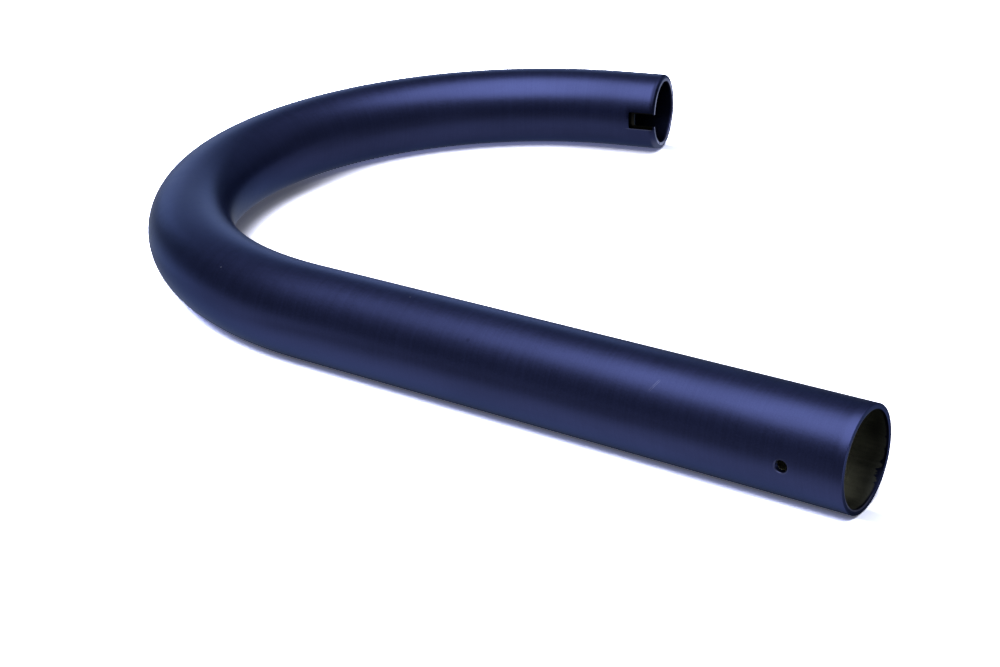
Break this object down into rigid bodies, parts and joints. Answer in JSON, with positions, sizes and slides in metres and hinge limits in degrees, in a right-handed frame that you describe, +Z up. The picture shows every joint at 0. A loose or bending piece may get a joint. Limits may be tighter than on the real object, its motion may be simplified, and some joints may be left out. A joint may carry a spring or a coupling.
{
  "type": "tap spout",
  "caption": "Swept-over tap spout: one bent round tube with open ends, a key notch in its outlet mouth and a small cross hole near the inlet.",
  "frame": {"origin": "centre of the inlet end, on the tube's axis, in the plane of its rim", "axes": "+X out of the inlet mouth along the straight leg, +Y towards the outlet leg, +Z up, square to the plane of the bend, with the spout lying flat"},
  "size_m": [0.297, 0.2436, 0.028],
  "materials": {
    "coated_brass": "satin dark navy coat outside and in the outlet mouth, bare drawn brass inside the inlet"
  },
  "bodies": {
    "root": {"spout_tube": "coated_brass"}
  },
  "joints": []
}
